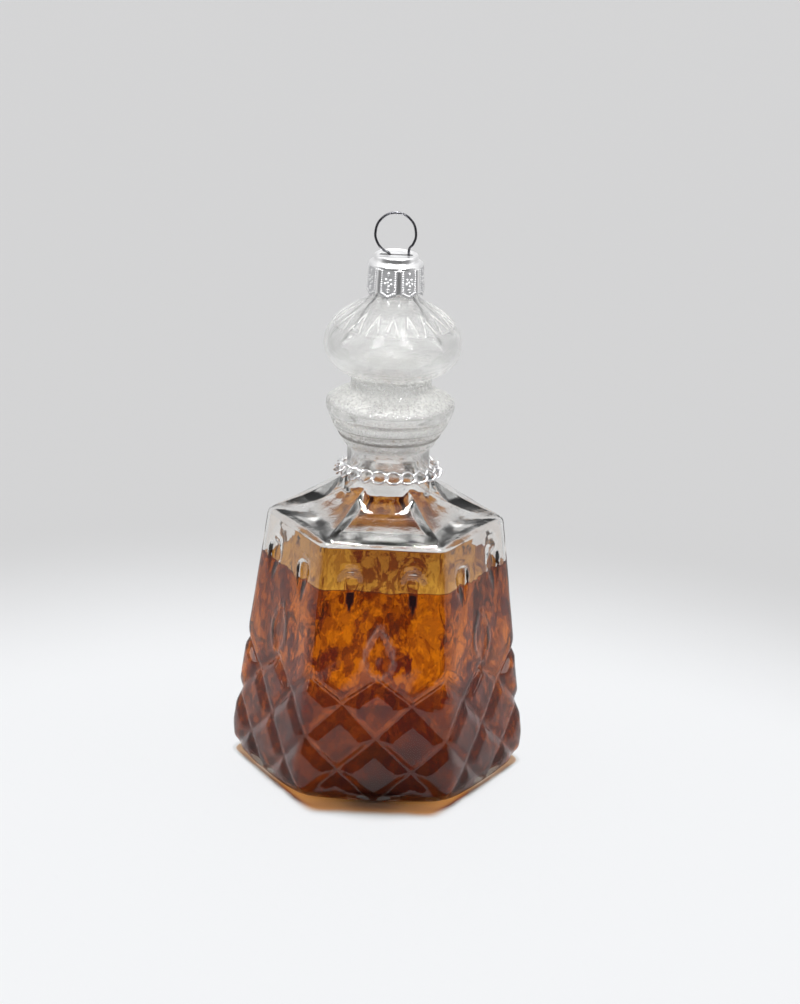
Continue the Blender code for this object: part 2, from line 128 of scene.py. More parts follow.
# The inside: its floor as shares of height and radius, how much of the flutes it follows, and how much thicker
# the glass lies inside the fluted shoulder, between two heights
INNER_FLOOR = ((0.0, 0.0), (0.0, 0.35), (0.0, 0.7), (0.0, 0.9), (0.12, 0.965), (0.42, 0.99))
INNER_FLUTE = 0.6
SHOULDER_SAG = 2.2
SHOULDER = (52.2, 60.9)

# Soft waves: seed, amount and longest wave in metres
OUTER_WAVES = (3, 0.00004, 0.012)
BODY_INNER_WAVES = (7, 0.00004, 0.011)
UPPER_INNER_WAVES = (7, 0.00006, 0.011)
BRIM_WAVES = (5, 0.00018, 0.009)
BRIM_COMB = (6, 0.00024, 0.0022)

# The lacquer: how deep its inner face lies in the wall, so that no air shows between them, how far in metres a row
# lies under its brim, how dark the brim is, and where it is darker or lighter, as a start or middle with a reach. The
# lattice's darker front and the dark spots under the dimples are painted shade
COAT_SINK = 0.04
BRIM_ROW = 0.00018
BRIM_POOL = 0.9
LATTICE_SHADE = (21.0, 5.0)
FRONT_LEAF_LIGHTER = (29.0, 6.0)
BACK_DARKER = (27.0, 6.0)
DIMPLE_SHADE = (41.3, 2.0)
DIMPLE_SHADE_WIDTH = 0.9

# Where the glass has a finish of its own, and where the last two paint dark shade lines round the collar, in metres:
# heights at which that starts, is full, begins to end and is over
SHOULDER_EDGE = (0.0516, 0.0524, 0.0540, 0.0575)
COLLAR = (0.0660, 0.0690, 0.0730, 0.0745)
WAIST = (0.0750, 0.0772, 0.0820, 0.0850)
BULB = (0.0820, 0.0850, 0.0945, 0.0965)
LOW_GROOVE_SHADE = (0.0692, 0.0694, 0.0697, 0.0699)
HIGH_GROOVE_SHADE = (0.0714, 0.0715, 0.0716, 0.0717)

# Colours of the glass and the lacquer, and of the light that they let into their shadow. The milk also serves as a
# painted highlight on rims, the groove shade is painted shade, and the darkest pigment paints shade in the lacquer
CLEAR = (0.99, 0.99, 0.985)
PLAIN = (1.0, 1.0, 1.0)
MILK_AND_HIGHLIGHT = (0.97, 0.97, 0.95)
GROOVE_SHADE = (0.40, 0.375, 0.36)
GLASS_SHADOW = (0.90, 0.90, 0.895)
PIGMENTS = ((0.62, 0.32, 0.14), (0.26, 0.11, 0.085), (0.02, 0.008, 0.01))
FRONT_SHADOW = (0.86, 0.56, 0.29)
SIDE_SHADOW = (0.93, 0.83, 0.74)

# The cap: how it is divided and turned, radius and height of its inside from the middle and of its top, its skirt
# with the panels' tips, and its slot
CAP_PANELS = 8
PANEL_STEPS = 40
SKIRT_ROWS = 60
CAP_TURN = math.radians(-14)
CAP_INSIDE = (
    (0.0, 105.8), (3.2, 105.8), (3.95, 105.78), (4.05, 105.65), (4.08, 104.9), (4.7, 104.55), (5.05, 104.25),
    (5.1, 103.9),
)
CAP_TOP = (
    (5.36, 104.48), (5.1, 104.72), (4.75, 104.9), (4.5, 105.0), (4.42, 105.12), (4.38, 105.5), (4.38, 105.9),
    (4.3, 106.1), (4.1, 106.2), (3.9, 106.15), (3.7, 106.02), (3.4, 106.0), (2.0, 106.0), (0.0, 106.0),
)
SKIRT_FOOT = 99.3
SKIRT_TOP = 104.3
SKIRT_RADIUS = 5.42
SKIRT_FLARE = 0.30
PANEL_TIP = 1.0
SLOT_REACH = 2.7
SLOT_RADIUS = 0.6
# A panel's embossing, across and down from the middle of its top: columns of beads with their radius and height,
# dots with their radius, and the hoop
BEAD_COLUMN = 1.38
BEAD = (0.21, 0.2)
DOTS = (
    (0.0, 0.95, 0.3), (-0.5, 2.1, 0.26), (0.45, 2.25, 0.3), (-0.1, 2.75, 0.3), (-0.62, 2.95, 0.27), (0.6, 3.05, 0.27),
    (0.1, 3.45, 0.27),
)
DOT_HEIGHT = 0.2
HOOP_PLACE = 4.35

# The hanger: x and height up its left leg, shares of a turn round its ring, and x and height down its right leg
LEFT_LEG = ((-9.7, 88.1), (-6.5, 93.16), (-3.3, 98.22), (-1.75, 104.6), (-1.35, 106.0))
RING_TURNS = (0.645, 0.58, 0.5, 0.375, 0.25, 0.125, 0.0, -0.08, -0.125)
RING_MIDDLE = (-0.3, 110.25)
RING_RADII = (3.98, 4.15)
RIGHT_LEG = ((2.45, 106.0), (2.55, 104.6), (3.3, 98.22), (6.5, 93.16), (9.7, 88.1))
HANGER_WIRE = 0.5

# The chain: its pieces, with the one that closes it, and the sizes of a link and of the whole loop. Links at the
# places where the runs swing have thinner wire, so that they don't cut each other there
CHAIN_PIECES = 22
CLOSING_PIECE = 2
CHAIN_WIRE = 0.45
CHAIN_THICKNESS = 0.52
SWINGING_THICKNESS = 0.45
LINK_LENGTH = 3.85
LINK_WIDTH = 2.8
LINK_POINTS = 16
CHAIN_HEIGHT = 62.0596
CHAIN_RADIUS = 10.013

# The photograph's camera, in metres and pixels: where it stands and looks, its lens, and how it is turned
CAMERA_DISTANCE = 0.600
CAMERA_HEIGHT = 0.2602
CAMERA_TARGET = (0.0, 0.0, 0.053)
CAMERA_TURN = math.radians(0.53)
CAMERA_ROLL = math.radians(2.34)
FOCAL_PIXELS = 3145.0
PICTURE_HEIGHT = 1004
PICTURE_MIDDLE = (400, 502)
TARGET_PIXEL = (386, 509.5)
SENSOR = 36.0

# The lamps: the sun's bearing, and of the pairs at the sides their place, aim, size and power
SUN_WAY = (0.0, 0.222, 1.0)
SUN_POWER = 3.25
SUN_WIDTH = math.radians(3.5)
SIDE_LAMPS = {
    "strip": ((0.55, 0.02, 0.31), (0.0, 0.0, 0.06), (0.06, 0.45), 0.20),
    "window": ((0.26, -0.38, 0.71), (0.0, 0.0, 0.08), (0.04, 0.66), 5.0),
}


def table(rows):
    return np.array(rows, float)


def monotone(x, y, at):
    """A smooth curve through points that adds no bumps between them."""
    step = np.diff(x)
    slope = np.diff(y, axis=0) / step[:, None]
    inner = np.zeros_like(slope[1:])
    low, high = slope[:-1], slope[1:]
    same = low * high > 0
    heavy = (2 * step[1:] + step[:-1])[:, None] * np.ones_like(low)
    light = (step[1:] + 2 * step[:-1])[:, None] * np.ones_like(low)
    inner[same] = (heavy + light)[same] / (heavy[same] / low[same] + light[same] / high[same])
    tangent = np.vstack([slope[:1], inner, slope[-1:]])
    span = np.clip(np.searchsorted(x, at, side="right") - 1, 0, len(step) - 1)
    t = ((at - x[span]) / step[span])[:, None]
    h = step[span][:, None]
    return (
        (1 + 2 * t) * (1 - t) ** 2 * y[span]
        + t * (1 - t) ** 2 * h * tangent[span]
        + t * t * (3 - 2 * t) * y[span + 1]
        + t * t * (t - 1) * h * tangent[span + 1]
    )


def along(points, counts):
    """Points on a smooth curve through a table's rows, with the given number in each span."""
    reach = np.linalg.norm(np.diff(points[:, :2], axis=0), axis=1)
    place = np.concatenate([[0.0], np.cumsum(reach)])
    at = [low + (high - low) * n / count for low, high, count in zip(place, place[1:], counts) for n in range(count)]
    return monotone(place, points, np.array([*at, place[-1]]))


def wrap(value):
    """Signed distance to the nearest groove, in levels of the lattice."""
    return (value + 2) % 4 - 2


def ease(share):
    """0 below 0, 1 above 1, and smooth between."""
    share = np.clip(share, 0.0, 1.0)
    return share * share * (3 - 2 * share)


def ripple(points, seed, amount, longest):
    """Soft waves through space, as blown glass has."""
    draws = np.random.default_rng(seed)
    total = np.zeros(points.shape[:-1])
    for _ in range(9):
        wave = draws.normal(size=3)
        wave *= 2 * math.pi / (longest * draws.uniform(0.35, 1.0) * np.linalg.norm(wave))
        total += np.sin(points @ wave + draws.uniform(0, 2 * math.pi))
    return total * amount / 3


def waved(points, seed, amount, longest):
    """The points pushed out and in by soft waves."""
    reach = np.linalg.norm(points[..., :2], axis=-1, keepdims=True)
    share = ripple(points, seed, amount, longest)[..., None] / np.maximum(reach, 1e-6)
    moved = points.copy()
    moved[..., :2] *= 1 + share
    return moved


LENGTH = {"unit": "LENGTH", "precision": 5}
COLOUR = {"size": 3, "subtype": "COLOR"}


class OrnamentGlass(bpy.types.PropertyGroup):
    """Sizes of the blown glass."""

    wall: bpy.props.FloatProperty(name="Wall", description="Thickness of the blown wall", default=0.00075, **LENGTH)
    floor: bpy.props.FloatProperty(name="Floor", description="Thickness of the bottom", default=0.0009, **LENGTH)
    groove: bpy.props.FloatProperty(name="Groove", description="Depth of the lattice", default=0.00085, **LENGTH)
    leaf: bpy.props.FloatProperty(name="Leaf", description="Depth of a side's leaf", default=0.0003, **LENGTH)
    dimple: bpy.props.FloatProperty(name="Dimple", description="Depth of a side's dimples", default=0.001, **LENGTH)
    petal: bpy.props.FloatProperty(name="Petal", description="Depth of the bulb's petals", default=0.00035, **LENGTH)
    follow: bpy.props.FloatProperty(
        name="Inner relief", description="How much of the relief the inside follows", default=0.6, subtype="FACTOR"
    )


class OrnamentCoat(bpy.types.PropertyGroup):
    """The lacquer inside the glass."""

    fill: bpy.props.FloatProperty(name="Fill", description="Height of the lacquer's brim", default=0.0432, **LENGTH)
    thickness: bpy.props.FloatProperty(name="Film", description="Thickness of the film", default=0.00008, **LENGTH)
    light: bpy.props.FloatVectorProperty(
        name="Light amber", description="What the thin spots let through", default=(0.915, 0.655, 0.24), **COLOUR
    )
    dark: bpy.props.FloatVectorProperty(
        name="Dark amber", description="What the thick spots let through", default=(0.45, 0.17, 0.065), **COLOUR
    )


class OrnamentStage(bpy.types.PropertyGroup):
    """Colours of the table: white by the ornament, and grey further off as painted shade."""

    floor: bpy.props.FloatVectorProperty(
        name="Floor", description="Colour of the floor by the ornament", default=(0.85, 0.86, 0.875), **COLOUR
    )
    # The grey further off is painted shade
    far: bpy.props.FloatVectorProperty(
        name="Far floor", description="Colour of the floor further off", default=(0.605, 0.605, 0.609), **COLOUR
    )


def settings(name):
    return getattr(bpy.context.scene, name)


class Value:
    """A node's output in a Python sum. Each operator adds a Math node."""

    def __init__(self, tree, link):
        self.tree = tree
        self.link = link

    def maths(self, operation, *values):
        return add(self.tree, "ShaderNodeMath", {"operation": operation}, dict(enumerate(values))).out(0)

    def __add__(self, other):
        return self.maths("ADD", self, other)

    def __radd__(self, other):
        return self.maths("ADD", other, self)

    def __sub__(self, other):
        return self.maths("SUBTRACT", self, other)

    def __rsub__(self, other):
        return self.maths("SUBTRACT", other, self)

    def __mul__(self, other):
        return self.maths("MULTIPLY", self, other)

    def __rmul__(self, other):
        return self.maths("MULTIPLY", other, self)

    def __abs__(self):
        return self.maths("ABSOLUTE", self)

    def clamped(self, low, high):
        return self.maths("MINIMUM", self.maths("MAXIMUM", self, low), high)

    def stepped(self, low, high):
        """0 below low, 1 above high, and smooth between."""
        inputs = {"Value": self, "From Min": low, "From Max": high}
        return add(self.tree, "ShaderNodeMapRange", {"interpolation_type": "SMOOTHSTEP"}, inputs).out(0)

    def within(self, zone):
        """0 outside a zone and 1 inside it, with soft edges."""
        start, full, ending, over = zone
        return self.stepped(start, full) * (1 - self.stepped(ending, over))


class Made:
    """A node that was added, with its outputs as values."""

    def __init__(self, tree, node):
        self.tree = tree
        self.node = node

    def out(self, name):
        return Value(self.tree, self.node.outputs[name])


def add(tree, kind, options=None, inputs=None):
    """One node: its settings first, then the values or links of its sockets."""
    node = tree.nodes.new(kind)
    for key, value in (options or {}).items():
        setattr(node, key, value)
    for key, value in (inputs or {}).items():
        if isinstance(value, Value):
            tree.links.new(value.link, node.inputs[key])
        else:
            node.inputs[key].default_value = value
    return Made(tree, node)


def new_material(name):
    material = bpy.data.materials.new(name)
    material.use_nodes = True
    material.node_tree.nodes.clear()
    return material, material.node_tree


def show(tree, shader):
    add(tree, "ShaderNodeOutputMaterial", None, {"Surface": shader})


def place_of(tree):
    return add(tree, "ShaderNodeTexCoord").out("Object")


def axis_of(tree, vector, axis):
    return add(tree, "ShaderNodeSeparateXYZ", None, {0: vector}).out(axis)


def attribute(tree, name):
    return add(tree, "ShaderNodeAttribute", {"attribute_name": name}).out("Fac")


def ray(tree, kind):
    """1 for light paths of a kind, and 0 for others."""
    return add(tree, "ShaderNodeLightPath").out(f"Is {kind} Ray")


def upright(tree, place, share):
    """Places with their heights scaled: above 1, a pattern on them lies in flat layers, and below 1 it stands tall."""
    return add(tree, "ShaderNodeMapping", None, {"Vector": place, "Scale": (1.0, 1.0, share)}).out(0)


def noise(tree, place, scale, detail, rough=0.5, bend=0.0, output="Fac"):
    inputs = {"Vector": place, "Scale": scale, "Detail": detail, "Roughness": rough, "Distortion": bend}
    return add(tree, "ShaderNodeTexNoise", None, inputs).out(output)


def mix_shader(tree, share, first, second):
    return add(tree, "ShaderNodeMixShader", None, {0: share, 1: first, 2: second}).out(0)


def mix_colour(tree, share, first, second):
    return add(tree, "ShaderNodeMix", {"data_type": "RGBA"}, {0: share, 6: first, 7: second}).out(2)


def plain_shader(tree, kind, colour):
    """A Transparent, Diffuse or Translucent shader of one colour."""
    return add(tree, "ShaderNodeBsdf" + kind, None, {"Color": rgba(colour)}).out(0)


def bump(tree, height, strength, distance):
    return add(tree, "ShaderNodeBump", None, {"Strength": strength, "Distance": distance, "Height": height}).out(0)


def rgba(colour):
    return (*colour, 1.0)


def glass_look():
    """Clear blown glass, with soft waves and cloudy rings where the tube was drawn in. It has painted white highlights
    on the raised rims of the petals and the leaf, and painted dark shade lines round the collar.
    """
    material, tree = new_material("clear_blown_glass")
    place = place_of(tree)
    height = axis_of(tree, place, "Z")
    broad = noise(tree, place, 240.0, 2.0)
    fine = noise(tree, place, 1500.0, 5.0, 0.6)
    curl = noise(tree, place, 620.0, 3.0, 0.6)
    rungs = noise(tree, upright(tree, place, 5.0), 260.0, 3.0, 0.6)
    cloud = (height.within(WAIST) + height.within(COLLAR) * 0.7) * fine.stepped(0.45, 0.56)
    ripples = height.within(SHOULDER_EDGE)
    bulb = height.within(BULB)
    # Painted shade: two thin dark rings round the collar, near its grooves
    grooves = height.within(LOW_GROOVE_SHADE) + height.within(HIGH_GROOVE_SHADE) * 0.7
    calm = height.stepped(0.0440, 0.0520) * 0.65 + 0.35
    waves = broad * (calm + ripples * 2) + (curl * 0.8 + rungs * 3.2) * bulb
    waves = waves + fine * (0.03 + cloud * 0.8 + ripples * 0.8 + bulb * 0.3)
    normal = bump(tree, waves, 0.35, 0.00012)
    inputs = {"Color": rgba(CLEAR), "IOR": 1.5, "Roughness": cloud * 0.10, "Normal": normal}
    clear = add(tree, "ShaderNodeBsdfGlass", None, inputs).out(0)
    back_lit = plain_shader(tree, "Translucent", MILK_AND_HIGHLIGHT)
    front_lit = plain_shader(tree, "Diffuse", MILK_AND_HIGHLIGHT)
    milk_and_highlight = mix_shader(tree, 0.5, back_lit, front_lit)
    plain = plain_shader(tree, "Transparent", PLAIN)
    thin = height.stepped(0.0600, 0.0680)
    lattice = 1 - height.stepped(0.0220, 0.0340)
    body = mix_shader(tree, thin * 0.25 + bulb * 0.30 + lattice * 0.12, clear, plain)
    # Painted highlight: milky white along the petals' and the leaf's raised rims, broken up by noise
    outline = attribute(tree, "rim_highlight") * curl.stepped(0.32, 0.50)
    body = mix_shader(tree, (cloud * 0.42 + thin * 0.05 + outline * 0.9).clamped(0.0, 0.8), body, milk_and_highlight)
    # The painted shade lines round the collar, as darker see-through glass
    body = mix_shader(tree, grooves * 0.75, body, plain_shader(tree, "Transparent", GROOVE_SHADE))
    through = plain_shader(tree, "Transparent", GLASS_SHADOW)
    show(tree, mix_shader(tree, ray(tree, "Shadow"), body, through))
    return material


def coat_look():
    """Transparent amber lacquer that dried in mottles, with a little dull pigment in it, and some painted shade."""
    given = settings("ornament_coat")
    material, tree = new_material("mottled_amber_lacquer")
    place = place_of(tree)
    tall = upright(tree, place, 0.6)
    push = noise(tree, tall, 520.0, 5.0, 0.7, 0.0, "Color")
    inputs = {0: push, 1: (0.0032, 0.0032, 0.0032), 2: tall}
    ragged = add(tree, "ShaderNodeVectorMath", {"operation": "MULTIPLY_ADD"}, inputs).out(0)
    patches = noise(tree, ragged, 85.0, 3.0)
    crackle = noise(tree, tall, 560.0, 6.0, 0.7, 0.1)
    blots = noise(tree, ragged, 170.0, 3.0)
    cloud = patches.stepped(0.49, 0.51)
    flecks = crackle.stepped(0.48, 0.52)
    spot = blots.stepped(0.60, 0.615)
    # How dark the lacquer is from the mesh, with the dark brim and painted shade at the lattice's front and under the
    # dimples
    pool_and_shade = attribute(tree, "pool_and_shade")
    rims = 1 - abs(patches - 0.50).stepped(0.0, 0.015)
    share = (cloud * 0.20 + flecks * (0.22 + cloud * 0.22) + rims * 0.22 + spot * 0.5 + pool_and_shade).clamped(0.0, 1.0)
    # Near-black pigment where that is highest: at the brim, and as painted shade under the dimples
    deep = pool_and_shade.stepped(0.65, 0.95)
    light = plain_shader(tree, "Transparent", given.light)
    dark = plain_shader(tree, "Transparent", given.dark)
    film = mix_shader(tree, share, light, dark)
    pale_brown, dark_brown, near_black = [plain_shader(tree, "Diffuse", colour) for colour in PIGMENTS]
    pigment = mix_shader(tree, deep, mix_shader(tree, share, pale_brown, dark_brown), near_black)
    coat = mix_shader(tree, share * 0.10 + 0.004 + deep * 0.6, film, pigment)
    front = plain_shader(tree, "Transparent", FRONT_SHADOW)
    side = plain_shader(tree, "Transparent", SIDE_SHADOW)
    through = mix_shader(tree, axis_of(tree, place, "Y").stepped(-0.0195, -0.0120), front, side)
    show(tree, mix_shader(tree, ray(tree, "Shadow"), coat, through))
    return material


def show_metal(tree, colour, rough, normal):
    inputs = {"Base Color": colour, "Metallic": 1.0, "Roughness": rough, "Normal": normal}
    show(tree, add(tree, "ShaderNodeBsdfPrincipled", None, inputs).out(0))


def metal_look(name, colour, dull, rough, grain, depth):
    """Bright plated metal with fine scratches and dull spots."""
    material, tree = new_material(name)
    place = place_of(tree)
    cloud = noise(tree, place, grain, 4.0, 0.6)
    fine = noise(tree, place, grain * 6, 3.0)
    tint = mix_colour(tree, cloud.stepped(0.35, 0.7), rgba(colour), rgba(dull))
    show_metal(tree, tint, rough + cloud * 0.12, bump(tree, fine, 0.3, depth))
    return material


def cap_look():
    """Bright pressed tinplate: lighter and smoother where it stands proud, and darker and rougher down in the
    embossing.
    """
    material, tree = new_material("pressed_tinplate")
    place = place_of(tree)
    cloud = noise(tree, place, 900.0, 4.0, 0.6)
    raised = attribute(tree, "raised")
    tint = mix_colour(tree, raised, (0.62, 0.62, 0.63, 1.0), (0.98, 0.98, 0.98, 1.0))
    show_metal(tree, tint, 0.50 - raised * 0.22 + cloud * 0.12, bump(tree, cloud, 0.2, 0.00003))
    return material


def finish_mesh(name, mesh, material):
    """The piece's object, with its place in its mesh."""
    data = bpy.data.meshes.new(name)
    mesh.to_mesh(data)
    mesh.free()
    data.materials.append(material)
    return place_piece(name, data)


def place_piece(name, data):
    data.shade_smooth()
    piece = bpy.data.objects.new(name, data)
    bpy.context.scene.collection.objects.link(piece)
    return piece


def stands_for(piece, node, body):
    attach(piece, body)
    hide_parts(node)


def grid_of(points, marked):
    """A grid of quads whose rows close round, from points with a fourth value that is kept as an attribute.

    Returns the mesh and the vertex at each row and column.
    """
    rows, columns = points.shape[:2]
    mesh = bmesh.new()
    layer = mesh.verts.layers.float.new(marked)
    bmesh.ops.create_grid(mesh, x_segments=columns, y_segments=rows - 1, size=1)
    at = {}
    for vertex in mesh.verts:
        column = round((vertex.co.x + 1) / 2 * columns)
        row = round((vertex.co.y + 1) / 2 * (rows - 1))
        at[row, column] = vertex
    for (row, column), vertex in at.items():
        vertex.co = points[row, column % columns, :3]
        vertex[layer] = points[row, column % columns, 3]
    return mesh, at


def close_grid(mesh):
    """Joins the ends of the rows and the poles, and turns the faces outwards."""
    bmesh.ops.remove_doubles(mesh, verts=mesh.verts, dist=0.000001)
    bmesh.ops.recalc_face_normals(mesh, faces=mesh.faces)


def across_side():
    """Each column's place across its side, from -1 to 1."""
    return 2 * (np.arange(COLUMNS) % FACE_STEPS) / FACE_STEPS - 1


def facet(share):
    """A bevel's rise over its width: straight, with its ends a little rounded."""
    share = np.clip(share, 0.0, 1.0)
    return 0.7 * share + 0.3 * ease(share)


def lattice_depth(across, height, soft):
    """Depth of the crossed grooves. Soft widens their bevels."""
    above, below = [bevel + soft * SOFTER_BEVEL for bevel in BEVELS]

    def groove(distance):
        return np.where(distance >= 0, facet(1 - distance / above), facet(1 + distance / below))

    step = LEVELS * (across + 1) / 2
    level = np.interp(height, LEVEL_HEIGHTS, np.arange(0, LEVELS + 1, 2))
    crossed = np.maximum(groove(wrap(step - level)), groove(-wrap(step + level)))
    edge = level - (LEVELS - np.abs(wrap(step)))
    edge = edge + np.where(height > LATTICE_TOP, (height - LATTICE_TOP) / ZIGZAG_FADE, 0.0)
    shape = np.where(edge <= 0, crossed, facet(1 - edge / below))
    return settings("ornament_glass").groove * shape * ease((height - 0.2) / 1.4)


def climbed(height, form):
    """How far up a form each height lies, from 0 at its foot to 1 at its top, and whether it lies within it."""
    low, high = form
    climb = np.clip((height - low) / (high - low), 0.0, 1.0)
    return climb, (climb > 0) * (climb < 1)


def leaf_depth(x, height):
    """Depth of the leaf with its two veins, and where its raised rim runs."""
    climb, within = climbed(height, LEAF)
    width = LEAF_WIDTH * np.sin(math.pi * climb**0.85) ** 1.25 + 1e-6
    vein = np.clip(1 - np.abs(np.abs(x) - VEIN_PLACE) / VEIN_WIDTH, 0.0, 1.0)
    hollow = np.clip(1 - (x / width) ** 2, 0.0, 1.0) - 0.4 * vein * (np.abs(x) < width)
    rim = ease(1 - np.abs(np.abs(x) - width) / LEAF_RIM_WIDTH) * within
    return settings("ornament_glass").leaf * hollow * within, rim


def dimple_depth(x, height, half_width, soft):
    """Depth of a side's two dimples, which have the shape of a drop. Soft blunts them."""
    climb, within = climbed(height, DIMPLE)
    crown = np.sqrt(np.clip(1 - ((climb - DIMPLE_WIDEST) / (1 - DIMPLE_WIDEST)) ** 2, 0.0, 1.0))
    width = DIMPLE_WIDTH * np.where(climb < DIMPLE_WIDEST, (climb / DIMPLE_WIDEST) ** 0.7, crown) + 1e-6
    side = (np.abs(x) - half_width / 2) / width
    hollow = settings("ornament_glass").dimple * np.clip(1 - side * side, 0.0, 1.0) ** (0.6 + soft * 0.6) * within
    return hollow * ease((1 - climb) / 0.16) * ease(climb / 0.75)


def relief(heights, half_widths, soft):
    """Depth of the moulded relief at the given heights in every column, and where the leaves' raised rims run."""
    height, half_width = heights[:, None], half_widths[:, None]
    across = across_side()[None]
    x = across * half_width
    leaf, rim = leaf_depth(x, height)
    depth = np.maximum(leaf, dimple_depth(x, height, half_width, soft))
    depth = np.maximum(lattice_depth(across, height, soft), depth)
    return depth - LEAF_RIM_RISE * settings("ornament_glass").leaf * rim, rim


def section(heights, radii, squareness, flute, sharpness, depth):
    """Points of level rings. A ring is six-sided where squareness is 1, and round where it is 0."""
    across = across_side()
    turn = FRONT + 2 * HALF_SIDE * (np.arange(COLUMNS) // FACE_STEPS)
    power = sharpness[:, None]
    apothem = radii[:, None] * math.cos(HALF_SIDE) * (1 + CORNER_FILL * (2 ** (1 / power) - 1) * squareness[:, None])
    out = apothem - flute[:, None] * (1 - np.abs(across) ** FLUTE_POWER)
    side = apothem * math.tan(HALF_SIDE) * across
    bearing = np.arctan2(side, out)
    near, next_one = np.cos(bearing), np.cos(2 * HALF_SIDE - np.abs(bearing))
    rounding = near / (near**power + next_one**power) ** (1 / power)
    flat = np.stack([out, side], -1) * rounding[..., None]
    angle = HALF_SIDE * across
    turned = radii[:, None, None] * np.stack([np.cos(angle), np.sin(angle)], -1)[None]
    point = turned + (flat - turned) * squareness[:, None, None]
    reach = np.linalg.norm(point, axis=-1, keepdims=True)
    point = point * (1 - np.where(reach > 0, depth[..., None] / np.maximum(reach, 1e-9), 0.0))
    x = point[..., 0] * np.cos(turn) - point[..., 1] * np.sin(turn)
    y = point[..., 0] * np.sin(turn) + point[..., 1] * np.cos(turn)
    return np.stack([x, y, np.broadcast_to(heights[:, None], x.shape)], -1)


def body_radius(heights):
    body = table(BODY)
    return monotone(body[:, 0], body[:, 1:], heights)[:, 0]


def body_heights():
    """Heights of the lattice's rows, which are closest so that its grooves follow them, and of the rows above it."""
    levels = np.arange(1, LEVELS * LEVEL_STEPS + 1) / LEVEL_STEPS
    lattice = np.interp(levels, np.arange(0, LEVELS + 1, 2), LEVEL_HEIGHTS)
    leaf = np.linspace(*LEAF, LEAF_ROWS + 1)[1:]
    upper = np.linspace(LEAF[1], BODY[-1][0], UPPER_ROWS + 1)[1:]
    return lattice, np.concatenate([leaf, upper])


def petals(heights):
    """Depth of the triangular petals round the bulb's top, and the painted highlight on their thin raised outlines."""
    phase = np.abs(np.arange(COLUMNS) / COLUMNS * PETALS % 1 - 0.5)[None, :]
    above = heights[:, None] - PETAL_FOOT
    climb = above / PETAL_HEIGHT
    width = PETAL_WIDTH * np.clip(1 - climb, 0.0, 1.0) ** 0.8
    edge = np.minimum((width - phase) * 3.6, above)
    hollow = ease(edge / 0.35) * 0.7
    rim = np.clip(1 - np.abs(edge / 0.22), 0.0, 1.0) * 0.75
    near = ease((climb + 0.15) / 0.15) * ease((1.12 - climb) / 0.15)
    rim_highlight = ease(rim * 1.6) * near * (0.4 + 0.6 * ease((climb - 0.05) / 0.2))
    return settings("ornament_glass").petal * (hollow - rim) * near, rim_highlight


def upper_outline():
    """Rows above the body: height, radius, squareness, flute and sharpness of the corners."""
    flare = table(FLARE)
    turned = table(TURNED)
    rows = np.zeros((len(flare) + len(turned), 5))
    rows[: len(flare)] = flare[:, :5]
    rows[len(flare) :, :2] = turned[:, :2]
    rows[len(flare) :, 4] = flare[-1, 4]
    counts = [int(n) for n in [*flare[:, 5], *turned[:-1, 2]]]
    return rows, counts


def inset(rows, wall):
    """The rows of an outline moved into the glass."""
    step = np.empty_like(rows[:, :2])
    step[1:-1] = rows[2:, :2] - rows[:-2, :2]
    step[0] = rows[1, :2] - rows[0, :2]
    step[-1] = rows[-1, :2] - rows[-2, :2]
    step /= np.linalg.norm(step, axis=1)[:, None]
    corner = 1 + (math.cos(HALF_SIDE) - 1) * rows[:, 2]
    sag = SHOULDER_SAG * ease((rows[:, 0] - SHOULDER[0]) / 3.0) * ease((SHOULDER[1] - rows[:, 0]) / 3.8)
    moved = rows.copy()
    moved[:, 0] += (wall + sag) * step[:, 1]
    moved[:, 1] -= (wall + sag + (1 - INNER_FLUTE) * rows[:, 3]) * step[:, 0] / corner
    moved[:, 3] *= INNER_FLUTE
    return moved


def body_section(heights, radii, bulge, depth):
    """The points of the six-sided body's rows, in metres."""
    ones = np.ones_like(heights)
    return section(heights, radii, ones, -bulge, ones * CORNER_SHARPNESS, depth) * MM


def glass_inside(gap=0.0):
    """The inside of the body from its floor's middle up: heights and points, with a gap further in."""
    given = settings("ornament_glass")
    wall = given.wall / MM + gap
    floor = given.floor / MM + gap
    lattice, upper = body_heights()
    heights = np.concatenate([lattice[7::2], upper[1::2]])
    radii = body_radius(heights) - wall / math.cos(HALF_SIDE)
    rise, reach = table(INNER_FLOOR).T
    heights = np.concatenate([floor + (heights[0] - floor) * rise, heights])
    radii = np.concatenate([radii[0] * reach, radii])
    depth = relief(heights, radii / 2, 1.0)[0] * given.follow / MM
    depth[: len(rise)] *= np.linspace(0.0, 0.6, len(rise))[:, None]
    points = body_section(heights, radii, heights * 0.0, depth)
    points[1:] = waved(points[1:], *BODY_INNER_WAVES)
    return heights, points


def split_along_grooves(at, first_row):
    """Cuts each quad of the lattice along the groove that runs nearest to it."""
    for row in range(first_row, first_row + LEVELS * LEVEL_STEPS - 1):
        level = (row - first_row + 1.5) / LEVEL_STEPS
        for column in range(COLUMNS):
            step = LEVELS * ((column % FACE_STEPS) + 0.5) / FACE_STEPS
            low, high = at[row, column], at[row + 1, column + 1]
            if abs(wrap(step - level)) > abs(wrap(step + level)):
                low, high = at[row, column + 1], at[row + 1, column]
            shared = set(low.link_faces) & set(high.link_faces)
            if shared:
                bmesh.utils.face_split(shared.pop(), low, high)


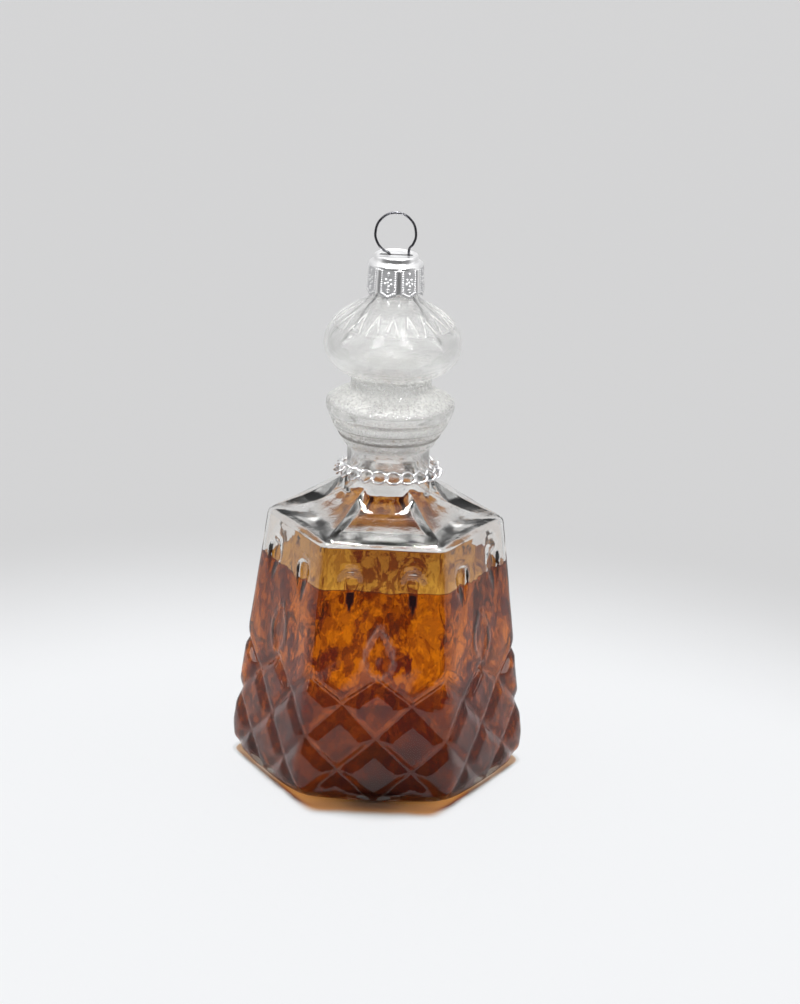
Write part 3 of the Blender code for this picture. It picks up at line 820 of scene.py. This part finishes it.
def make_glass_mesh():
    """One closed skin: up the outside to the pike's mouth, and down the inside to the floor's middle."""
    wall = settings("ornament_glass").wall / MM
    foot = table(UNDERSIDE + FOOT_EDGE)
    moulded = np.concatenate(body_heights())[:-1]
    heights = np.concatenate([foot[:, 0], moulded])
    radii = np.concatenate([foot[:, 1], body_radius(moulded)])
    depth = np.zeros((len(heights), COLUMNS))
    mould, leaf_rims = relief(moulded, radii[len(foot) :] / 2, 0.0)
    depth[len(foot) :] = mould / MM
    bulge = FOOT_BULGE * np.clip(1 - heights / FOOT_BULGE_TOP, 0.0, 1.0) ** 1.5
    bulge[: len(UNDERSIDE) - 1] = 0.0
    body = body_section(heights, radii, bulge, depth)

    rows, counts = upper_outline()
    dense = along(rows, counts)
    hollows, petal_rims = petals(dense[:, 0])
    outside = np.concatenate([body, section(*dense.T, hollows / MM) * MM])
    outside[PLAIN_ROWS:] = waved(outside[PLAIN_ROWS:], *OUTER_WAVES)

    rows_inside = inset(rows, wall)
    rows_inside[0, 1] = body_radius(rows_inside[:1, 0])[0] - wall / math.cos(HALF_SIDE)
    rows_inside[-1, 0] = rows[-1, 0]
    sparse = along(rows_inside, [max(1, count // 2) for count in counts])
    upper = section(*sparse.T, petals(sparse[:, 0])[0] * 0.5 / MM) * MM
    inside = np.concatenate([glass_inside()[1][:-1], waved(upper, *UPPER_INNER_WAVES)])

    points = np.concatenate([outside, inside[::-1]])
    # Where the painted white highlight lies, on the leaf's and the petals' raised rims
    rim_highlight = np.zeros((*points.shape[:2], 1))
    rim_highlight[len(foot) : len(body), :, 0] = leaf_rims * LEAF_RIM_HIGHLIGHT
    rim_highlight[len(body) : len(outside), :, 0] = petal_rims
    mesh, at = grid_of(np.concatenate([points, rim_highlight], -1), "rim_highlight")
    split_along_grooves(at, len(foot))
    close_grid(mesh)
    return mesh


class ORNAMENT_OT_glass(bpy.types.Operator):
    """Blow the hollow glass with its lattice, flutes, collar and bulb"""

    bl_idname = "ornament.glass"
    bl_label = "Glass"

    def execute(self, context):
        piece = finish_mesh("blown_glass", make_glass_mesh(), glass_look())
        stands_for(piece, "glass_shell", "glass")
        return {"FINISHED"}


def past(height, zone):
    """0 below a zone's start and 1 once its reach is past."""
    start, reach = zone
    return ease((height - start) / reach)


def hump(height, zone):
    """1 at a zone's middle, falling to 0 and below at its reach."""
    middle, reach = zone
    return 1 - ((height - middle) / reach) ** 2


def pooled_and_shaded(heights):
    """How much of the darker lacquer there is, as a share that may leave the range from 0 to 1.

    It is darker at the front of the lattice and lighter at its back, as painted shade, darker high at the back,
    lighter round the front leaf, and darker under each dimple, as painted shade.
    """
    height = heights[:, None]
    half_width = body_radius(heights)[:, None] / 2
    front = 0.5 + 0.5 * np.cos(2 * math.pi * (np.arange(COLUMNS) - FACE_STEPS / 2) / COLUMNS)[None, :]
    # Painted shade: darker at the front of the lattice and lighter at its back
    share = (0.88 * front - 0.34) * (1 - past(height, LATTICE_SHADE))
    share = share - 0.10 * front**6 * np.clip(hump(height, FRONT_LEAF_LIGHTER), 0.0, 1.0)
    share = share + 0.24 * (1 - front) * past(height, BACK_DARKER)
    # Painted shade: a dark spot low in each dimple
    side = (np.abs(across_side()) * half_width - half_width / 2) / DIMPLE_SHADE_WIDTH
    drop = np.clip(hump(height, DIMPLE_SHADE) - side**2, 0.0, 1.0)
    return share + 1.4 * ease(drop * 2.5)


def coat_skin(gap):
    """One face of the film, with its wavy brim: its points, and how dark the lacquer is at them, painted shade
    included.
    """
    fill = settings("ornament_coat").fill
    heights, points = glass_inside(gap)
    count = int(np.searchsorted(heights, fill / MM - 0.6))
    points = points[:count]
    top = points[-1]
    comb = ripple(top, *BRIM_COMB) * ease((top[:, 1] + 0.019) / 0.004)
    rise = (fill + ripple(top, *BRIM_WAVES) + comb - top[:, 2])[:, None]
    lean = np.zeros_like(top)
    lean[:, :2] = -top[:, :2] / np.linalg.norm(top[:, :2], axis=1, keepdims=True) * 0.1
    lean[:, 2] = 1.0
    brim = [(top + lean * (rise - drop))[None] for drop in (BRIM_ROW, 0.0)]
    pool_and_shade = pooled_and_shaded(np.concatenate([heights[:count], [fill / MM] * 2]))
    pool_and_shade[-1] = BRIM_POOL
    return np.concatenate([points, *brim]), pool_and_shade


class ORNAMENT_OT_coat(bpy.types.Operator):
    """Line the body with lacquer up to the line it was filled to"""

    bl_idname = "ornament.coat"
    bl_label = "Lacquer coat"

    def execute(self, context):
        film = settings("ornament_coat").thickness / MM
        outer, outer_pool_and_shade = coat_skin(-COAT_SINK - film)
        inner, inner_pool_and_shade = coat_skin(-COAT_SINK)
        points = np.concatenate([outer, inner[::-1]])
        pool_and_shade = np.concatenate([outer_pool_and_shade, inner_pool_and_shade[::-1]])[..., None]
        mesh, _ = grid_of(np.concatenate([points, pool_and_shade], -1), "pool_and_shade")
        close_grid(mesh)
        piece = finish_mesh("lacquer_coat", mesh, coat_look())
        stands_for(piece, "amber_coat", "glass")
        return {"FINISHED"}


def bead(x, y, centre_x, centre_y, radius, height):
    """Height of a round bead over a panel."""
    distance = np.sqrt((x - centre_x) ** 2 + (y - centre_y) ** 2) / radius
    return height * np.sqrt(np.clip(1 - distance**2, 0.0, 1.0))


def emboss(x, y):
    """Height of a panel's embossing. x runs across from its middle and y down from its top, in millimetres."""
    shape = np.zeros(np.broadcast(x, y).shape)
    for side in (-BEAD_COLUMN, BEAD_COLUMN):
        for number in range(11):
            shape = np.maximum(shape, bead(x, y, side, 0.5 + 0.43 * number, *BEAD))
        for number in range(1, 4):
            share = number / 3.3
            shape = np.maximum(shape, bead(x, y, side * (1 - share), 4.75 + 0.75 * share, *BEAD))
    for dot in DOTS:
        shape = np.maximum(shape, bead(x, y, *dot, DOT_HEIGHT))
    stalk = np.clip(1 - np.abs(x - 0.12 * np.sin(y * 2.4)) / 0.1, 0.0, 1.0) * (y > 1.2) * (y < 2.6)
    hoop = np.clip(1 - ((np.hypot(x, y - HOOP_PLACE) - 0.3) / 0.12) ** 2, 0.0, 1.0)
    shape = np.maximum(shape, np.maximum(0.1 * stalk, 0.17 * np.sqrt(hoop)))
    return np.maximum(shape, bead(x, y, 0.0, HOOP_PLACE, 0.12, 0.12))


def make_cap_mesh():
    """The cap's skin: down its inside, up the skirt's embossed panels, which end in blunt tips, and over its top."""
    columns = CAP_PANELS * PANEL_STEPS
    panel = np.arange(columns) % PANEL_STEPS / PANEL_STEPS - 0.5
    turn = FRONT + CAP_TURN + 2 * math.pi * (np.arange(columns) / PANEL_STEPS - 0.5) / CAP_PANELS
    point = 1 - 2 * np.abs(panel)

    def ring(radius, height):
        radius = radius + np.zeros(columns)
        return np.stack([radius * np.cos(turn), radius * np.sin(turn), height + np.zeros(columns)], -1)

    inside = [ring(*place) for place in CAP_INSIDE]
    radius, top = CAP_INSIDE[-1]
    for share in np.linspace(0.1, 1.0, 10):
        inside.append(ring(radius + 0.32 * share, top + (SKIRT_FOOT - top) * share - PANEL_TIP * share * point))
    skirt, raised_share = [], []
    for share in np.linspace(1.0, 0.0, SKIRT_ROWS + 1):
        down = (SKIRT_TOP - SKIRT_FOOT) * share + PANEL_TIP * point * share
        radius = SKIRT_RADIUS + SKIRT_FLARE * share
        x = panel * 2 * math.pi / CAP_PANELS * radius
        plain = ease((np.abs(x) - 1.62) / 0.12)
        rib = plain * (0.10 + 0.08 * np.cos(np.clip((np.abs(x) - 2.18) / 0.5, -1, 1) * math.pi / 2))
        fade = ease((down - 0.05) / 0.35)
        edge = ease((1.0 - share) / 0.03)
        rise = np.maximum(emboss(x, down) * (1 - plain), rib) * fade * (0.3 + 0.7 * edge)
        skirt.append(ring(radius - 0.05 + rise, SKIRT_TOP - down))
        raised_share.append(np.clip(rise / 0.16 + (1 - fade), 0.0, 1.0))
    outside = [ring(*place) for place in CAP_TOP]
    rows = np.stack(inside + skirt + outside) * MM
    raised = np.stack([np.full(columns, 0.6)] * len(inside) + raised_share + [np.ones(columns)] * len(outside))
    mesh, _ = grid_of(np.concatenate([rows, raised[..., None]], -1), "raised")
    close_grid(mesh)
    return mesh


def cut_slot(cap):
    """Cuts the slot that the wire passes through."""
    mesh = bmesh.new()
    bmesh.ops.create_circle(mesh, cap_ends=True, segments=24, radius=SLOT_RADIUS * MM)
    for vertex in mesh.verts:
        vertex.co.x += math.copysign(SLOT_REACH * MM, vertex.co.x)
        vertex.co.z = 105.2 * MM
    grown = bmesh.ops.extrude_face_region(mesh, geom=mesh.faces[:])["geom"]
    bmesh.ops.translate(mesh, verts=[v for v in grown if isinstance(v, bmesh.types.BMVert)], vec=(0, 0, 2 * MM))
    bmesh.ops.recalc_face_normals(mesh, faces=mesh.faces)
    cutter = finish_mesh("slot_cutter", mesh, cap.data.materials[0])
    modifier = cap.modifiers.new("slot", "BOOLEAN")
    modifier.object = cutter
    modifier.solver = "EXACT"
    modifier.operation = "DIFFERENCE"
    uncut = cap.data
    cut = final_mesh(cap)
    cap.modifiers.clear()
    cap.data = cut
    bpy.data.meshes.remove(uncut)
    bpy.data.objects.remove(cutter, do_unlink=True)


def final_mesh(thing):
    """A new mesh of an object as it is after its modifiers."""
    graph = bpy.context.evaluated_depsgraph_get()
    return bpy.data.meshes.new_from_object(thing.evaluated_get(graph), depsgraph=graph)


class ORNAMENT_OT_cap(bpy.types.Operator):
    """Press the cap with its eight embossed panels and cut its slot"""

    bl_idname = "ornament.cap"
    bl_label = "Cap"

    def execute(self, context):
        piece = finish_mesh("pressed_cap", make_cap_mesh(), cap_look())
        cut_slot(piece)
        piece.data.set_sharp_from_angle(angle=math.radians(60))
        stands_for(piece, "ornament_cap", "cap")
        return {"FINISHED"}


def bent_wire(name, points, diameter, closed, material, steps, matrix=Matrix()):
    """A round wire bent smoothly through points, as a mesh."""
    curve = bpy.data.curves.new(name, "CURVE")
    curve.dimensions = "3D"
    curve.bevel_depth = diameter / 2
    curve.bevel_resolution = 4
    curve.resolution_u = steps
    curve.use_fill_caps = True
    spline = curve.splines.new("BEZIER")
    spline.bezier_points.add(len(points) - 1)
    for knot, point in zip(spline.bezier_points, points):
        knot.co = point
        knot.handle_left_type = "AUTO"
        knot.handle_right_type = "AUTO"
    spline.use_cyclic_u = closed
    curve.materials.append(material)
    course = bpy.data.objects.new(name + "_course", curve)
    bpy.context.scene.collection.objects.link(course)
    data = final_mesh(course)
    bpy.data.objects.remove(course, do_unlink=True)
    data.name = name
    data.transform(matrix)
    return place_piece(name, data)


def hanger_course():
    """The wire's course: up one leg, round the ring and down the other leg."""
    ring = []
    for share in RING_TURNS:
        turn = 2 * math.pi * share
        ring.append((RING_RADII[0] * math.cos(turn) + RING_MIDDLE[0], RING_MIDDLE[1] + RING_RADII[1] * math.sin(turn)))
    return [Vector((x * MM, 0.0, z * MM)) for x, z in (*LEFT_LEG, *ring, *RIGHT_LEG)]


class ORNAMENT_OT_hanger(bpy.types.Operator):
    """Bend the hanger: a ring above the cap and two legs inside the bulb"""

    bl_idname = "ornament.hanger"
    bl_label = "Hanger"

    def execute(self, context):
        look = metal_look("drawn_spring_wire", (0.15, 0.15, 0.16), (0.07, 0.07, 0.08), 0.22, 700.0, 0.00001)
        piece = bent_wire("bent_hanger", hanger_course(), HANGER_WIRE * MM, False, look, 12)
        stands_for(piece, "hanger_wire", "hanger")
        return {"FINISHED"}


def link_course():
    """One turn of a curb link's wire: an oval, twisted about its length."""
    points = []
    for number in range(LINK_POINTS):
        turn = 2 * math.pi * number / LINK_POINTS
        twist = math.radians(45) * math.cos(turn)
        width = (LINK_WIDTH - CHAIN_WIRE) / 2 * math.sin(turn)
        length = (LINK_LENGTH - CHAIN_WIRE) / 2 * math.cos(turn)
        points.append(Vector((length, width * math.sin(twist), width * math.cos(twist))) * MM)
    return points


def closing_course():
    """The closing ring's wire, split on its upper side."""
    radius = (LINK_LENGTH - CHAIN_WIRE) / 2
    gap = (0.25 + CHAIN_WIRE) / radius
    turns = [math.pi / 2 + gap / 2 + (2 * math.pi - gap) * n / LINK_POINTS for n in range(LINK_POINTS + 1)]
    return [Vector((math.cos(turn), 0.0, math.sin(turn))) * radius * MM for turn in turns]


def link_place(piece):
    """Where a piece of the chain lies: on a loop that dips to the front, leaning on the shoulder."""
    loop = Matrix.Translation((0.0, 0.0, CHAIN_HEIGHT * MM)) @ Matrix.Rotation(math.radians(-5), 4, "X")
    spin = Matrix.Rotation(2 * math.pi * piece / CHAIN_PIECES, 4, "Z")
    lean = Matrix.Rotation(math.radians(-25), 4, "Y") @ Matrix.Rotation(math.pi / 2, 4, "Z")
    return loop @ spin @ Matrix.Translation((CHAIN_RADIUS * MM, 0.0, 0.0)) @ lean


class ORNAMENT_OT_chain(bpy.types.Operator):
    """Link the chain round the neck and close it with its split ring"""

    bl_idname = "ornament.chain"
    bl_label = "Chain"

    def execute(self, context):
        look = metal_look("bright_silver_plate", (0.95, 0.95, 0.96), (0.80, 0.80, 0.82), 0.10, 900.0, 0.000015)
        number = 0
        half = CHAIN_PIECES // 2
        for piece in range(CHAIN_PIECES):
            body = "chain_sides" if not piece % half else ("chain_back" if piece < half else "chain_front")
            place = link_place(piece)
            if piece == CLOSING_PIECE:
                ring = bent_wire("split_ring", closing_course(), CHAIN_THICKNESS * MM, False, look, 4, place)
                stands_for(ring, "chain_closing_ring", body)
                continue
            number += 1
            swings = min(piece % half, half - piece % half) < 2
            thick = (SWINGING_THICKNESS if swings else CHAIN_THICKNESS) * MM
            link = bent_wire(f"curb_link_{number:02d}", link_course(), thick, True, look, 4, place)
            stands_for(link, f"chain_link_{number:02d}", body)
        return {"FINISHED"}


def floor_look():
    """Matt white table that fades to grey further off, as painted shade. In reflections it turns near black a little
    way in front, as a painted dark reflection.
    """
    given = settings("ornament_stage")
    material, tree = new_material("white_table")
    place = place_of(tree)
    centred = add(tree, "ShaderNodeVectorMath", {"operation": "SUBTRACT"}, {0: place, 1: (0.0, -0.08, 0.0)}).out(0)
    away = add(tree, "ShaderNodeVectorMath", {"operation": "LENGTH"}, {0: centred}).out("Value")
    grain = noise(tree, place, 60.0, 3.0)
    # Painted shade: grey further off, in place of a dimmer backdrop
    share = (away + (grain - 0.5) * 0.004).stepped(0.125, 0.225)
    # Painted reflection: to glossy rays the table turns near black in front, like a dark room on the camera's side
    before = (0 - axis_of(tree, place, "Y")).stepped(0.165, 0.19)
    colour = mix_colour(tree, share, rgba(given.floor), rgba(given.far))
    colour = mix_colour(tree, before * ray(tree, "Glossy"), colour, (0.03, 0.03, 0.03, 1.0))
    inputs = {"Base Color": colour, "Roughness": 0.7, "Specular IOR Level": 0.2}
    show(tree, add(tree, "ShaderNodeBsdfPrincipled", None, inputs).out(0))
    return material


def left_out(piece):
    """The lamps' list of what they light: everything but the given piece."""
    unlit = bpy.data.collections.new("unlit")
    unlit.objects.link(piece)
    unlit.collection_objects[0].light_linking.link_state = "EXCLUDE"
    return unlit


def hang_lamp(name, kind, power, way):
    """A lamp that shines from the given way, and its object."""
    lamp = bpy.data.lights.new(name, kind)
    lamp.energy = power
    thing = bpy.data.objects.new(name, lamp)
    thing.rotation_euler = Vector(way).to_track_quat("Z", "Y").to_euler()
    bpy.context.scene.collection.objects.link(thing)
    return lamp, thing


def add_window(name, place, aim, size, power, unlit):
    """A tall lamp that makes the long highlights on the glass."""
    lamp, thing = hang_lamp(name, "AREA", power, Vector(place) - Vector(aim))
    lamp.shape = "RECTANGLE"
    lamp.size, lamp.size_y = size
    thing.location = place
    thing.light_linking.receiver_collection = unlit


def add_sun():
    """The lamp nearly overhead, a little behind, which throws the amber patch onto the table in front."""
    lamp, _ = hang_lamp("ceiling_lamp", "SUN", SUN_POWER, SUN_WAY)
    lamp.angle = SUN_WIDTH


def make_world():
    """Soft light from all round, dimmer from where the camera stands, and a bright ceiling in reflections."""
    world = bpy.data.worlds.new("studio")
    bpy.context.scene.world = world
    world.use_nodes = True
    tree = world.node_tree
    tree.nodes.clear()
    way = add(tree, "ShaderNodeTexCoord").out("Generated")
    front = (0 - axis_of(tree, way, "Y")).stepped(0.1, 0.6)
    colour = mix_colour(tree, front, (0.80, 0.80, 0.81, 1.0), (0.06, 0.06, 0.065, 1.0))
    shiny = (ray(tree, "Glossy") + ray(tree, "Transmission")).clamped(0.0, 1.0)
    ceiling = axis_of(tree, way, "Z").stepped(0.86, 0.96) * shiny
    colour = mix_colour(tree, ceiling, colour, (2.4, 2.4, 2.42, 1.0))
    light = add(tree, "ShaderNodeBackground", None, {"Color": colour, "Strength": 0.08 + shiny * 0.72})
    add(tree, "ShaderNodeOutputWorld", None, {"Surface": light.out(0)})


def make_camera():
    """The photograph's view: from in front and above, with a long lens."""
    camera = bpy.data.cameras.new("camera")
    camera.sensor_width = SENSOR
    camera.lens = FOCAL_PIXELS / PICTURE_HEIGHT * camera.sensor_width
    camera.clip_start = 0.01
    thing = bpy.data.objects.new("camera", camera)
    bpy.context.scene.collection.objects.link(thing)
    x, y = CAMERA_DISTANCE * math.sin(CAMERA_TURN), -CAMERA_DISTANCE * math.cos(CAMERA_TURN)
    place = Vector((x, y, CAMERA_HEIGHT))
    straight = (Vector(CAMERA_TARGET) - place).to_track_quat("-Z", "Y").to_matrix()
    roll = Matrix.Rotation(CAMERA_ROLL, 3, "Z")
    right, down = [(middle - pixel) / FOCAL_PIXELS for middle, pixel in zip(PICTURE_MIDDLE, TARGET_PIXEL)]
    aside = Matrix.Rotation(-right, 3, "Y") @ Matrix.Rotation(-down, 3, "X")
    thing.matrix_world = Matrix.Translation(place) @ (straight @ roll @ aside).to_4x4()
    bpy.context.scene.camera = thing


class ORNAMENT_OT_stage(bpy.types.Operator):
    """Lay the table, hang the lamps and place the camera"""

    bl_idname = "ornament.stage"
    bl_label = "Stage"

    def execute(self, context):
        make_camera()
        make_world()
        mesh = bmesh.new()
        bmesh.ops.create_circle(mesh, cap_ends=True, segments=96, radius=3.0)
        floor = finish_mesh("table_top", mesh, floor_look())
        add_sun()
        unlit = left_out(floor)
        for side, name in ((-1, "left"), (1, "right")):
            for kind, ((x, y, z), aim, size, power) in SIDE_LAMPS.items():
                add_window(f"{name}_{kind}", (side * x, y, z), aim, size, power, unlit)
        scene = context.scene
        scene.view_settings.view_transform = "Standard"
        scene.cycles.max_bounces = 24
        scene.cycles.transmission_bounces = 24
        scene.cycles.transparent_max_bounces = 32
        scene.cycles.caustics_reflective = False
        scene.cycles.caustics_refractive = False
        return {"FINISHED"}


class ORNAMENT_PT_panel(bpy.types.Panel):
    """Lists the ornament's pieces"""

    bl_label = "Ornament"
    bl_space_type = "VIEW_3D"
    bl_region_type = "UI"
    bl_category = "Ornament"

    def draw(self, context):
        for operator in OPERATORS:
            self.layout.operator(operator.bl_idname)
        for name in SETTINGS:
            box = self.layout.box()
            group = getattr(context.scene, name)
            for key in group.__annotations__:
                box.prop(group, key)


OPERATORS = (
    ORNAMENT_OT_stage, ORNAMENT_OT_glass, ORNAMENT_OT_coat, ORNAMENT_OT_cap, ORNAMENT_OT_hanger, ORNAMENT_OT_chain,
)
SETTINGS = {"ornament_glass": OrnamentGlass, "ornament_coat": OrnamentCoat, "ornament_stage": OrnamentStage}


def register():
    for group in (*SETTINGS.values(), *OPERATORS, ORNAMENT_PT_panel):
        bpy.utils.register_class(group)
    for name, group in SETTINGS.items():
        setattr(bpy.types.Scene, name, bpy.props.PointerProperty(type=group))


def unregister():
    for name in SETTINGS:
        delattr(bpy.types.Scene, name)
    for group in reversed((*SETTINGS.values(), *OPERATORS, ORNAMENT_PT_panel)):
        bpy.utils.unregister_class(group)


def main():
    register()
    bpy.ops.ornament.stage()
    bpy.ops.ornament.glass()
    bpy.ops.ornament.coat()
    bpy.ops.ornament.cap()
    bpy.ops.ornament.hanger()
    bpy.ops.ornament.chain()


if __name__ == "__main__":
    main()
